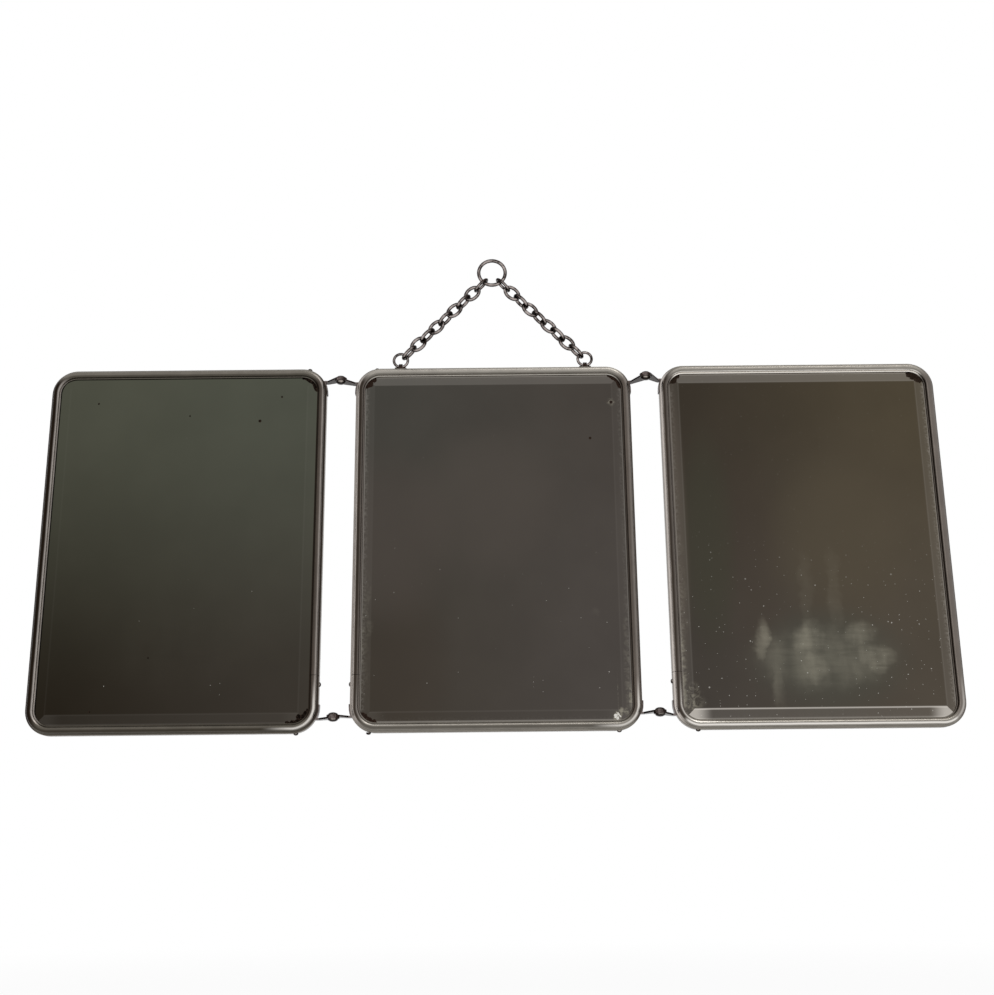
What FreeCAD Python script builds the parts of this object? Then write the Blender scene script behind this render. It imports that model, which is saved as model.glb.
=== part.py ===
import FreeCAD, Part

import math
import os
from types import SimpleNamespace

import Sketcher

# A three-leaf folding mirror of the barber's pattern, hung from one ring on two short chains.
#
# Frame: X to the right, Y from the mirror's face towards its back, Z up. The origin is the point inside the
# top of the hanging ring where a hook bears. The chains, the lugs and the feet of the hinges lie in the
# plane Y = 0, which is the middle of the frames' side walls.
#
# Each leaf is a bevelled glass, a card and a sheet back plate, held in a frame that is rolled from one strip:
# inner lip, hollow bead, shoulder, side wall and a rear lip that is crimped over the back plate.

DRIVING_SIZES = {
    # leaves, over the side walls
    "leaf_width": 186.0,
    "leaf_height": 246.0,
    "corner_radius": 16.5,
    "leaf_gap": 20.0,
    # section of the rolled frame
    "frame_sheet": 0.5,
    "bead_radius": 2.2,
    "shoulder_width": 1.1,
    "shoulder_drop": 0.8,
    "inner_lip": 0.7,
    "rear_lip": 1.6,
    # what the frame holds
    "glass_thickness": 3.6,
    "bevel_width": 10.8,
    "bevel_depth": 1.2,
    "card_thickness": 1.5,
    "plate_sheet": 0.6,
    "field_border": 15.0,
    "field_rise": 0.45,
    "edge_clearance": 0.3,
    "seat_gap": 0.05,
    # hinges
    "arm_thickness": 1.2,
    "arm_width": 4.5,
    "foot_sheet": 0.7,
    "foot_length": 8.5,
    "eye_radius": 4.1,
    "rivet_radius": 1.2,
    "rivet_head_radius": 2.5,
    "rivet_head_height": 1.0,
    "running_clearance": 0.05,
    "fold_gap": 0.8,
    "left_hinge_inset": 9.6,
    "right_hinge_inset": 10.2,
    # hanging ring, chains, eye rings and lugs
    "ring_outside": 21.0,
    "ring_wire": 2.5,
    "hook_offset": 5.6,
    "link_inside_length": 8.85,
    "link_outside_width": 9.8,
    "link_wire": 2.1,
    "link_play": 0.05,
    "eye_ring_outside": 11.4,
    "eye_ring_wire": 1.9,
    "loose_clearance": 0.3,
    "lug_spacing": 126.0,
    "lug_sheet": 0.7,
    "lug_width": 2.6,
    "lug_base_length": 8.0,
    "lug_base_sheet": 0.7,
}

LINKS_PER_CHAIN = 9
CHAIN_TWIST = {"left": 22.0, "right": 12.0}  # degrees about the chain's line, reached by its fourth link
TWIST_STEPS = 3

# Flats stand for what is round, except for the hinges' bores and shanks, to keep the facets few.
WIRE_FLATS = 8
BEAD_FLATS = 4
LUG_FLATS = 4
RIVET_HEAD_FLATS = 12
EYE_FLATS = 8  # round the half of a hinge's eye that faces away from the frame
LINK_BENDS = 8
RING_BENDS = 16
FOOT_BENDS = 3  # along the part of a hinge foot that follows the frame's corner

SIDES = {"left": -1, "right": 1}
ENDS = {"top": 1, "bottom": -1}
PAST = 2.0  # how far a cutting outline runs past what it cuts


class Size:
    """A size worked out from the sheet: its present value, and the formula that keeps it bound."""

    def __init__(self, value, formula):
        self.value = value
        self.formula = formula

    def __add__(self, other):
        other = as_size(other)
        return Size(self.value + other.value, f"({self.formula} + {other.formula})")

    def __sub__(self, other):
        other = as_size(other)
        return Size(self.value - other.value, f"({self.formula} - {other.formula})")

    def __mul__(self, other):
        other = as_size(other)
        return Size(self.value * other.value, f"({self.formula} * {other.formula})")

    def __truediv__(self, other):
        other = as_size(other)
        return Size(self.value / other.value, f"({self.formula} / {other.formula})")

    def __neg__(self):
        return Size(-self.value, f"(0 - {self.formula})")

    def root(self):
        return Size(math.sqrt(self.value), f"sqrt({self.formula})")


def as_size(number):
    if isinstance(number, Size):
        return number
    return Size(float(number), f"({float(number)})")


def make_sheet(doc):
    """Writes the driving sizes to the sheet and returns them, each bound to its cell."""
    sheet = doc.addObject("Spreadsheet::Sheet", "sizes")
    bound = {}
    for row, (alias, value) in enumerate(DRIVING_SIZES.items(), start=1):
        sheet.set(f"A{row}", alias)
        sheet.set(f"B{row}", str(value))
        sheet.setAlias(f"B{row}", alias)
        bound[alias] = Size(value, f"sizes.{alias}")
    doc.recompute()
    return SimpleNamespace(**bound)


def work_out(s):
    """Adds the sizes and places that follow from the driving ones."""
    # frame section: distances in from the side wall, and back from the front plane
    s.shoulder_depth = s.bead_radius + s.shoulder_drop
    s.bead_middle = s.shoulder_width + s.bead_radius
    s.lip_edge = s.shoulder_width + s.bead_radius * 2 + s.inner_lip
    s.lip_back = s.bead_radius + s.frame_sheet
    s.wall_inside = s.frame_sheet + s.edge_clearance

    # The mitred bevels bear on the inner lip where it rounds the corners, and the stack follows behind.
    s.glass_inset = s.shoulder_width + s.frame_sheet + s.edge_clearance
    s.ridge_inset = s.glass_inset + s.bevel_width
    s.bevel_slope = s.bevel_depth / s.bevel_width
    s.lip_corner = s.corner_radius - (s.corner_radius - s.lip_edge) * math.cos(math.radians(45))
    s.glass_front = s.lip_back + s.seat_gap - s.bevel_slope * (s.ridge_inset - s.lip_corner)
    s.card_front = s.glass_front + s.glass_thickness
    s.plate_front = s.card_front + s.card_thickness
    s.plate_back = s.plate_front + s.plate_sheet
    s.leaf_depth = s.plate_back + s.seat_gap + s.frame_sheet
    s.wall_middle = (s.shoulder_depth + s.leaf_depth) / 2

    # hinges: the left leaf folds face to face with the centre, the right leaf over the left leaf's back
    s.half_gap = s.leaf_gap / 2
    s.pivot_x = s.leaf_width / 2 + s.half_gap
    s.past_wall = s.half_gap + s.corner_radius / 4
    s.left_crank = s.wall_middle + s.fold_gap / 2
    s.right_crank = s.left_crank + (s.leaf_depth + s.fold_gap) / 2

    # hanging gear, from the hook's bearing point down to the top of the centre frame
    s.ring_radius = (s.ring_outside - s.ring_wire) / 2
    s.ring_centre_z = s.ring_wire - s.ring_outside / 2
    s.hook_drop = (s.ring_radius * s.ring_radius - s.hook_offset * s.hook_offset).root()
    s.hook_z = s.ring_centre_z - s.hook_drop
    s.eye_ring_radius = (s.eye_ring_outside - s.eye_ring_wire) / 2
    s.first_link = s.link_inside_length / 2 - s.ring_wire / 2 - s.loose_clearance
    s.link_pitch = s.link_inside_length - s.link_play
    s.last_half = s.link_inside_length / 2 - s.eye_ring_wire / 2 - s.link_play
    s.chain_reach = s.first_link + s.link_pitch * (LINKS_PER_CHAIN - 1) + s.last_half + s.eye_ring_radius
    s.chain_sine = (s.lug_spacing / 2 - s.hook_offset) / s.chain_reach
    s.chain_cosine = (as_size(1) - s.chain_sine * s.chain_sine).root()
    s.eye_ring_z = s.hook_z - s.chain_reach * s.chain_cosine
    s.tilt_axis_z = s.eye_ring_z - s.eye_ring_radius
    s.lug_hole_radius = s.eye_ring_wire / 2 + s.loose_clearance
    s.leaf_top_z = s.tilt_axis_z - s.lug_hole_radius - s.lug_base_sheet
    s.leaf_middle_z = s.leaf_top_z - s.leaf_height / 2
    return s


# ---- FreeCAD helpers ---------------------------------------------------------------------------------


def new_body(doc, label):
    body = doc.addObject("PartDesign::Body", label)
    body.Label = label
    return body


def new_sketch(body, name, plane_role):
    """A sketch on one of the body's own origin planes."""
    sketch = body.newObject("Sketcher::SketchObject", name)
    plane = [feature for feature in body.Origin.OriginFeatures if feature.Role == plane_role][0]
    sketch.AttachmentSupport = (plane, [""])
    sketch.MapMode = "FlatFace"
    return sketch


def lift_sketch(sketch, distance):
    """Moves a sketch along its plane's normal."""
    sketch.AttachmentOffset = FreeCAD.Placement(
        FreeCAD.Vector(0, 0, distance.value), FreeCAD.Rotation()
    )
    sketch.setExpression("AttachmentOffset.Base.z", distance.formula)


def shift_sketch(sketch, along, up):
    """Moves a sketch within its plane."""
    sketch.AttachmentOffset = FreeCAD.Placement(
        FreeCAD.Vector(along.value, up.value, 0), FreeCAD.Rotation()
    )
    sketch.setExpression("AttachmentOffset.Base.x", along.formula)
    sketch.setExpression("AttachmentOffset.Base.y", up.formula)


def bind(sketch, name, size, *constraint):
    """Adds a driving constraint that takes its value from the sheet."""
    index = sketch.addConstraint(Sketcher.Constraint(*constraint, size.value))
    sketch.renameConstraint(index, name)
    sketch.setExpression(f"Constraints.{name}", size.formula)


def place(feature, x, y, z):
    """Puts a sub-part at a bound place, keeping any rotation that it has."""
    rotation = feature.Placement.Rotation
    feature.Placement = FreeCAD.Placement(FreeCAD.Vector(x.value, y.value, z.value), rotation)
    feature.setExpression("Placement.Base.x", x.formula)
    feature.setExpression("Placement.Base.y", y.formula)
    feature.setExpression("Placement.Base.z", z.formula)


def profile(sketch, corners):
    """A closed outline of straight edges through corners, each an (x, y) pair of sizes."""
    first = sketch.GeometryCount
    count = len(corners)
    points = [FreeCAD.Vector(x.value, y.value, 0) for x, y in corners]
    for number, start in enumerate(points):
        sketch.addGeometry(Part.LineSegment(start, points[(number + 1) % count]), False)
    for number in range(count):
        following = (number + 1) % count
        meeting = Sketcher.Constraint("Coincident", first + number, 2, first + following, 1)
        sketch.addConstraint(meeting)
    for number, (x, y) in enumerate(corners):
        bind_point(sketch, f"p{first}_{number}", first + number, 1, x, y)


def bind_point(sketch, name, edge, point, x, y):
    """Fixes one point of a sketch at (x, y) from the sketch's origin."""
    if x.value == 0:
        sketch.addConstraint(Sketcher.Constraint("PointOnObject", edge, point, -2))
    else:
        bind(sketch, f"{name}_x", x, "DistanceX", -1, 1, edge, point)
    if y.value == 0:
        sketch.addConstraint(Sketcher.Constraint("PointOnObject", edge, point, -1))
    else:
        bind(sketch, f"{name}_y", y, "DistanceY", -1, 1, edge, point)


def circle(sketch, name, radius):
    """A circle about the sketch's origin."""
    centre = FreeCAD.Vector(0, 0, 0)
    sketch.addGeometry(Part.Circle(centre, FreeCAD.Vector(0, 0, 1), radius.value), False)
    sketch.addConstraint(Sketcher.Constraint("Coincident", 0, 3, -1, 1))
    bind(sketch, name, radius, "Radius", 0)


def polygon(sketch, flats, radius, middle_x=None):
    """An even polygon round a circle of this radius, whose middle lies on the X axis."""
    if middle_x is None:
        middle_x = as_size(0)
    spread = 1 / math.cos(math.pi / flats)
    corners = []
    for corner in range(flats):
        angle = (corner + 0.5) * 2 * math.pi / flats
        across = radius * (spread * math.cos(angle))
        corners.append((middle_x + across, radius * (spread * math.sin(angle))))
    profile(sketch, corners)


def rounded_rectangle(sketch, width, height, radius, start_on_axis=False):
    """A rounded rectangle about the sketch's origin.

    With start_on_axis its right side is in two, so that a pipe along it starts where a section stands.
    """
    wide, high, turn = width.value / 2, height.value / 2, radius.value
    inner_x, inner_y = wide - turn, high - turn
    low_end = 0.0 if start_on_axis else -inner_y

    def line(x1, y1, x2, y2):
        return Part.LineSegment(FreeCAD.Vector(x1, y1, 0), FreeCAD.Vector(x2, y2, 0))

    def corner(x, y, quarter):
        circle = Part.Circle(FreeCAD.Vector(x, y, 0), FreeCAD.Vector(0, 0, 1), turn)
        return Part.ArcOfCircle(circle, quarter * math.pi / 2, (quarter + 1) * math.pi / 2)

    edges = [
        line(wide, low_end, wide, inner_y),
        corner(inner_x, inner_y, 0),
        line(inner_x, high, -inner_x, high),
        corner(-inner_x, inner_y, 1),
        line(-wide, inner_y, -wide, -inner_y),
        corner(-inner_x, -inner_y, 2),
        line(-inner_x, -high, inner_x, -high),
        corner(inner_x, -inner_y, 3),
    ]
    if start_on_axis:
        edges.append(line(wide, -inner_y, wide, 0.0))
    first = sketch.GeometryCount
    prefix = f"r{first}_"
    sketch.addGeometry(edges, False)
    for number in range(7):
        tangent = Sketcher.Constraint("Tangent", first + number, 2, first + number + 1, 1)
        sketch.addConstraint(tangent)
    if start_on_axis:
        sketch.addConstraint(Sketcher.Constraint("Tangent", first + 7, 2, first + 8, 1))
        sketch.addConstraint(Sketcher.Constraint("Coincident", first + 8, 2, first, 1))
        sketch.addConstraint(Sketcher.Constraint("PointOnObject", first, 1, -1))
        sketch.addConstraint(Sketcher.Constraint("Vertical", first + 8))
    else:
        sketch.addConstraint(Sketcher.Constraint("Tangent", first + 7, 2, first, 1))
    for number, direction in ((0, "Vertical"), (2, "Horizontal"), (4, "Vertical"), (6, "Horizontal")):
        sketch.addConstraint(Sketcher.Constraint(direction, first + number))
    for number in (3, 5, 7):
        sketch.addConstraint(Sketcher.Constraint("Equal", first + 1, first + number))
    bind(sketch, f"{prefix}radius", radius, "Radius", first + 1)
    bind(sketch, f"{prefix}right", width / 2, "DistanceX", -1, 1, first, 2)
    bind(sketch, f"{prefix}top", height / 2, "DistanceY", -1, 1, first + 2, 1)
    bind(sketch, f"{prefix}left", -width / 2, "DistanceX", -1, 1, first + 4, 1)
    bind(sketch, f"{prefix}bottom", -height / 2, "DistanceY", -1, 1, first + 6, 1)


def pad(body, name, sketch, length, symmetric=False, reverse=False):
    feature = body.newObject("PartDesign::Pad", name)
    feature.Profile = sketch
    feature.Length = length.value
    feature.setExpression("Length", length.formula)
    if symmetric:
        feature.SideType = "Symmetric"
    feature.Reversed = reverse
    return feature


def pocket_through(body, name, sketch):
    """Cuts an outline right through the body, both ways from the sketch."""
    feature = body.newObject("PartDesign::Pocket", name)
    feature.Profile = sketch
    feature.Type = "ThroughAll"
    feature.SideType = "Symmetric"
    return feature


def pipe(body, name, section, path):
    feature = body.newObject("PartDesign::AdditivePipe", name)
    feature.Profile = section
    feature.Spine = (path, [])
    return feature


# ---- leaves ------------------------------------------------------------------------------------------


def place_leaf_part(s, body, side):
    """Leaf parts are drawn about the leaf's middle, with the front plane at Y = 0."""
    place(body, (s.leaf_width + s.leaf_gap) * side, -s.wall_middle, s.leaf_middle_z)


def leaf_frame(doc, s, label, side):
    """One strip rolled to a lip, a hollow bead, a shoulder, a side wall and a rear lip."""
    body = new_body(doc, label)
    path = new_sketch(body, f"{label}_path", "XZ_Plane")
    rounded_rectangle(path, s.leaf_width, s.leaf_height, s.corner_radius, start_on_axis=True)
    section = new_sketch(body, f"{label}_section", "XY_Plane")
    hollow = s.bead_radius - s.frame_sheet
    hollow_crown = s.bead_radius - hollow * math.sin(math.radians(60))
    hollow_flat = hollow * math.cos(math.radians(60))
    outer_face = [
        (as_size(0), s.leaf_depth),
        (as_size(0), s.shoulder_depth),
        (s.shoulder_width, s.shoulder_depth),
    ]
    bead = []
    for corner in range(BEAD_FLATS + 1):
        angle = math.pi * corner / BEAD_FLATS
        inward = s.bead_middle - s.bead_radius * math.cos(angle)
        bead.append((inward, s.bead_radius * (1 - math.sin(angle))))
    inner_face = [
        (s.lip_edge, s.bead_radius),
        (s.lip_edge, s.lip_back),
        (s.bead_middle + hollow, s.lip_back),
        (s.bead_middle + hollow_flat, hollow_crown),
        (s.bead_middle - hollow_flat, hollow_crown),
        (s.bead_middle - hollow, s.shoulder_depth + s.frame_sheet),
        (s.frame_sheet, s.shoulder_depth + s.frame_sheet),
        (s.frame_sheet, s.leaf_depth - s.frame_sheet),
        (s.rear_lip, s.leaf_depth - s.frame_sheet),
        (s.rear_lip, s.leaf_depth),
    ]
    strip = outer_face + bead + inner_face
    profile(section, [(s.leaf_width / 2 - inward, back) for inward, back in strip])
    pipe(body, f"{label}_strip", section, path)
    place_leaf_part(s, body, side)
    return body


def mirror_glass(doc, s, label, side):
    """A plate with rounded corners and four flat ground bevels, which meet in mitres."""
    body = new_body(doc, label)
    width = s.leaf_width - s.glass_inset * 2
    height = s.leaf_height - s.glass_inset * 2
    outline = new_sketch(body, f"{label}_outline", "XZ_Plane")
    rounded_rectangle(outline, width, height, s.corner_radius - s.glass_inset)
    lift_sketch(outline, -s.glass_front)
    pad(body, f"{label}_plate", outline, s.glass_thickness, reverse=True)

    def grind(name, plane_role, span, swap):
        sketch = new_sketch(body, name, plane_role)
        edge = span / 2
        for end in (-1, 1):
            wedge = [
                (edge - s.bevel_width, s.glass_front),
                (edge + PAST, s.glass_front + s.bevel_depth + s.bevel_slope * PAST),
                (edge + PAST, s.glass_front - PAST),
                (edge - s.bevel_width, s.glass_front - PAST),
            ]
            corners = [(across * end, back) for across, back in wedge]
            if swap:
                corners = [(back, across) for across, back in corners]
            profile(sketch, corners)
        pocket_through(body, f"{name}_cut", sketch)

    grind(f"{label}_side_bevels", "XY_Plane", width, False)
    grind(f"{label}_end_bevels", "YZ_Plane", height, True)
    place_leaf_part(s, body, side)
    return body


def backing_card(doc, s, label, side):
    body = new_body(doc, label)
    outline = new_sketch(body, f"{label}_outline", "XZ_Plane")
    inset = s.wall_inside
    width = s.leaf_width - inset * 2
    height = s.leaf_height - inset * 2
    rounded_rectangle(outline, width, height, s.corner_radius - inset)
    lift_sketch(outline, -s.card_front)
    pad(body, f"{label}_sheet", outline, s.card_thickness, reverse=True)
    place_leaf_part(s, body, side)
    return body


def back_plate(doc, s, label, side):
    """Sheet with a shallow raised field, which stays inside the rear lip's height.

    The field's hidden underside is left flat, against the card.
    """
    body = new_body(doc, label)
    inset = s.wall_inside
    width = s.leaf_width - inset * 2
    height = s.leaf_height - inset * 2
    outline = new_sketch(body, f"{label}_outline", "XZ_Plane")
    rounded_rectangle(outline, width, height, s.corner_radius - inset)
    lift_sketch(outline, -s.plate_front)
    pad(body, f"{label}_sheet", outline, s.plate_sheet, reverse=True)
    field_width = s.leaf_width - s.field_border * 2
    field_height = s.leaf_height - s.field_border * 2
    field = new_sketch(body, f"{label}_field", "XZ_Plane")
    rounded_rectangle(field, field_width, field_height, s.corner_radius / 2)
    lift_sketch(field, -s.plate_back)
    pad(body, f"{label}_pressing", field, s.field_rise, reverse=True)
    place_leaf_part(s, body, side)
    return body


# ---- hinges ------------------------------------------------------------------------------------------


def hinge_arm(doc, s, label, side, end, toward_wall, outer_level):
    """A level strip with a round eye, and a short foot bent to the frame's corner.

    It is drawn about the pivot, with the stack's middle at Z = 0. end is 1 at the top of the leaves and -1
    at the bottom. toward_wall is the way from the pivot to the wall. The wing's eye lies on the outer level.
    """
    body = new_body(doc, label)
    crank = s.left_crank if side < 0 else s.right_crank
    inset = s.left_hinge_inset if side < 0 else s.right_hinge_inset
    inner_face = s.running_clearance / 2
    if not outer_level:
        inner_face = -inner_face - s.arm_thickness
    outer_face = inner_face + s.arm_thickness

    plan = new_sketch(body, f"{label}_plan", "XY_Plane")
    profile(plan, [(x * toward_wall, y) for x, y in lever_outline(s, crank)])
    lift_sketch(plan, inner_face * end)
    pad(body, f"{label}_strip", plan, s.arm_thickness, reverse=end < 0)

    foot = new_sketch(body, f"{label}_foot_outline", "XZ_Plane")
    bend_middle = inset - s.corner_radius
    foot_radius = s.corner_radius + s.foot_sheet
    side_view = []
    for bend in range(FOOT_BENDS + 1):
        above = (outer_face - bend_middle) * (1 - bend / FOOT_BENDS)
        reach = (foot_radius * foot_radius - above * above).root()
        side_view.append((s.half_gap + s.corner_radius - reach, bend_middle + above))
    side_view += [
        (s.half_gap - s.foot_sheet, -s.foot_length),
        (s.past_wall, -s.foot_length),
        (s.past_wall, outer_face),
    ]
    profile(foot, [(x * toward_wall, z * end) for x, z in side_view])
    lift_sketch(foot, crank * -1)
    pad(body, f"{label}_foot", foot, s.arm_width, symmetric=True)

    leaf = new_sketch(body, f"{label}_leaf_outline", "XZ_Plane")
    rounded_rectangle(leaf, s.leaf_width, s.leaf_height, s.corner_radius)
    shift_sketch(leaf, (s.half_gap + s.leaf_width / 2) * toward_wall, (inset - s.leaf_height / 2) * end)
    pocket_through(body, f"{label}_fit", leaf)

    hole = new_sketch(body, f"{label}_hole", "XY_Plane")
    circle(hole, "hole_radius", s.rivet_radius + s.running_clearance)
    pocket_through(body, f"{label}_bore", hole)

    place_at_pivot(s, body, side, end)
    return body


def place_at_pivot(s, body, side, end):
    crank = s.left_crank if side < 0 else s.right_crank
    inset = s.left_hinge_inset if side < 0 else s.right_hinge_inset
    place(
        body,
        s.pivot_x * side,
        -crank,
        s.leaf_middle_z + (s.leaf_height / 2 - inset) * end,
    )


def lever_outline(s, crank):
    """Corners of the arm in plan: half an eye, then two straight edges to an end of even width."""
    half = s.arm_width / 2
    root = s.half_gap - s.foot_sheet
    length = (root * root + crank * crank).root()
    corners = []
    for flat in range(EYE_FLATS + 1):
        angle = math.pi * (flat / EYE_FLATS - 0.5)
        away = s.eye_radius * math.cos(angle)
        aside = s.eye_radius * math.sin(angle)
        corners.append(
            (-(root * away + crank * aside) / length, (root * aside - crank * away) / length)
        )
    corners += [
        (root, crank + half),
        (s.past_wall, crank + half),
        (s.past_wall, crank - half),
        (root, crank - half),
    ]
    return corners


def hinge_rivet(doc, s, label, side, end):
    """A shank through both eyes with a flat head at each end."""
    body = new_body(doc, label)
    under_head = s.arm_thickness + s.running_clearance * 1.5
    shank = new_sketch(body, f"{label}_shank_outline", "XY_Plane")
    circle(shank, "shank_radius", s.rivet_radius)
    pad(body, f"{label}_shank", shank, under_head * 2, symmetric=True)
    for way in ENDS.values():
        head = new_sketch(body, f"{label}_head_outline", "XY_Plane")
        polygon(head, RIVET_HEAD_FLATS, s.rivet_head_radius)
        lift_sketch(head, under_head * way)
        pad(body, f"{label}_head", head, s.rivet_head_height, reverse=way < 0)
    place_at_pivot(s, body, side, end)
    return body


# ---- hanging gear ------------------------------------------------------------------------------------


def wire_loop(doc, label, half_length, half_width, wire, bends):
    """A closed loop of wire in the XZ plane, its long axis along X, bent evenly along an ellipse.

    The half sizes run to the wire's middle. It starts and ends on a straight stretch, at its +X end.
    """
    body = new_body(doc, label)
    spread = 1 / math.cos(math.pi / bends)
    zero = as_size(0)
    course = [(half_length, zero)]
    for bend in range(bends):
        angle = (bend + 0.5) * 2 * math.pi / bends
        course.append(
            (half_length * (spread * math.cos(angle)), half_width * (spread * math.sin(angle)))
        )
    path = new_sketch(body, f"{label}_path", "XZ_Plane")
    profile(path, course)
    section = new_sketch(body, f"{label}_section", "XY_Plane")
    polygon(section, WIRE_FLATS, wire / 2, half_length)
    bent = pipe(body, f"{label}_bent", section, path)
    bent.Transition = "Right corner"
    return body


def wire_ring(doc, label, radius, wire, x, z):
    ring = wire_loop(doc, label, radius, radius, wire, RING_BENDS)
    place(ring, x, as_size(0), z)
    return ring


def chain_link(doc, s, label, side, number):
    """One oval link, turned into line with its chain.

    Odd links stand edge-on to the mirror, so that they hook the rings, and even links lie between them.
    """
    half_length = (s.link_inside_length + s.link_wire) / 2
    half_width = (s.link_outside_width - s.link_wire) / 2
    body = wire_loop(doc, label, half_length, half_width, s.link_wire, LINK_BENDS)
    edge_on = 90.0 if number % 2 else 0.0
    full_twist = CHAIN_TWIST["left" if side < 0 else "right"]
    twist = full_twist * min(1.0, (number - 1) / TWIST_STEPS)
    roll = FreeCAD.Rotation(FreeCAD.Vector(1, 0, 0), edge_on + twist)
    down = FreeCAD.Vector(s.chain_sine.value * side, 0, -s.chain_cosine.value)
    line_up = FreeCAD.Rotation(FreeCAD.Vector(1, 0, 0), down)
    body.Placement = FreeCAD.Placement(FreeCAD.Vector(0, 0, 0), line_up.multiply(roll))
    along = s.first_link + s.link_pitch * (number - 1)
    place(
        body,
        (s.hook_offset + along * s.chain_sine) * side,
        as_size(0),
        s.hook_z - along * s.chain_cosine,
    )
    return body


def lug(doc, s, label, side):
    """A strap bent over the eye ring's wire, on a flat foot along the frame's top edge."""
    body = new_body(doc, label)
    hole = s.lug_hole_radius
    outer = hole + s.lug_sheet
    foot = new_sketch(body, f"{label}_foot_outline", "XY_Plane")
    rounded_rectangle(foot, s.lug_base_length, (outer + s.lug_sheet) * 2, s.lug_sheet)
    pad(body, f"{label}_foot", foot, s.lug_base_sheet)
    strap = new_sketch(body, f"{label}_strap_outline", "YZ_Plane")
    profile(strap, arch(outer, s.lug_base_sheet / 2, s.lug_base_sheet + hole))
    pad(body, f"{label}_strap", strap, s.lug_width, symmetric=True)
    window = new_sketch(body, f"{label}_window_outline", "YZ_Plane")
    profile(window, arch(hole, s.lug_base_sheet, s.lug_base_sheet + hole))
    pocket_through(body, f"{label}_window", window)
    place(body, s.lug_spacing / 2 * side, as_size(0), s.leaf_top_z)
    return body


def arch(radius, base, spring):
    """Corners of an arch about the Y axis: straight sides from base up to spring, then flats round a circle."""
    spread = 1 / math.cos(math.pi / LUG_FLATS / 2)
    corners = [(radius, base)]
    for flat in range(LUG_FLATS):
        angle = math.pi * (flat + 0.5) / LUG_FLATS
        across = radius * (spread * math.cos(angle))
        corners.append((across, spring + radius * (spread * math.sin(angle))))
    corners.append((-radius, base))
    return corners


# ---- assembly ----------------------------------------------------------------------------------------


def build(doc):
    s = work_out(make_sheet(doc))
    zero = as_size(0)
    parts = []
    for name, side in (("left", -1), ("centre", 0), ("right", 1)):
        parts.append(leaf_frame(doc, s, f"{name}_frame", side))
        parts.append(mirror_glass(doc, s, f"{name}_mirror_glass", side))
        parts.append(backing_card(doc, s, f"{name}_backing_card", side))
        parts.append(back_plate(doc, s, f"{name}_back_plate", side))
    for name, side in SIDES.items():
        for end_name, end in ENDS.items():
            hinge = f"{name}_{end_name}_hinge"
            parts.append(hinge_arm(doc, s, f"{hinge}_centre_arm", side, end, -side, False))
            parts.append(hinge_arm(doc, s, f"{hinge}_wing_arm", side, end, side, True))
            parts.append(hinge_rivet(doc, s, f"{hinge}_rivet", side, end))
    parts.append(wire_ring(doc, "hanging_ring", s.ring_radius, s.ring_wire, zero, s.ring_centre_z))
    for name, side in SIDES.items():
        for number in range(1, LINKS_PER_CHAIN + 1):
            parts.append(chain_link(doc, s, f"{name}_chain_link_{number}", side, number))
        x = s.lug_spacing / 2 * side
        parts.append(
            wire_ring(doc, f"{name}_eye_ring", s.eye_ring_radius, s.eye_ring_wire, x, s.eye_ring_z)
        )
        parts.append(lug(doc, s, f"{name}_lug", side))
    doc.recompute()
    return parts, s


def check(doc, parts):
    """Stops the build if a feature failed, a cut took nothing away or a sub-part isn't one valid solid."""
    for feature in doc.Objects:
        bad = [word for word in feature.State if word in ("Invalid", "Error")]
        if bad:
            raise RuntimeError(f"{feature.Label} failed: {feature.State}")
        if feature.TypeId == "PartDesign::Pocket":
            before = feature.BaseFeature.Shape.Volume
            if before - feature.Shape.Volume < 1e-4:
                raise RuntimeError(f"{feature.Label} cuts nothing")
    for part in parts:
        shape = part.Shape
        if shape.isNull() or not shape.isValid() or len(shape.Solids) != 1:
            raise RuntimeError(f"{part.Label} is not one valid solid")


def main():
    doc = FreeCAD.newDocument("TrifoldMirror")
    parts, s = build(doc)
    check(doc, parts)
    os.makedirs("parts", exist_ok=True)
    for part in parts:
        part.Shape.exportStep(os.path.join("parts", f"{part.Label}.step"))
    print(f"{len(parts)} parts")
    print(f"leaf depth {s.leaf_depth.value:.3f}, glass front {s.glass_front.value:.3f}")
    print(f"tilt axis z {s.tilt_axis_z.value:.3f}, leaf top z {s.leaf_top_z.value:.3f}")
    print(f"chain swing axis z {s.hook_z.value:.3f}, ring centre z {s.ring_centre_z.value:.3f}")
    print(f"pivots x {s.pivot_x.value:.3f}, left y {-s.left_crank.value:.3f}, right y {-s.right_crank.value:.3f}")


main()
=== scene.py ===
import math
import random
from types import SimpleNamespace

import bpy
from mathutils import Matrix, Vector

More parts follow.
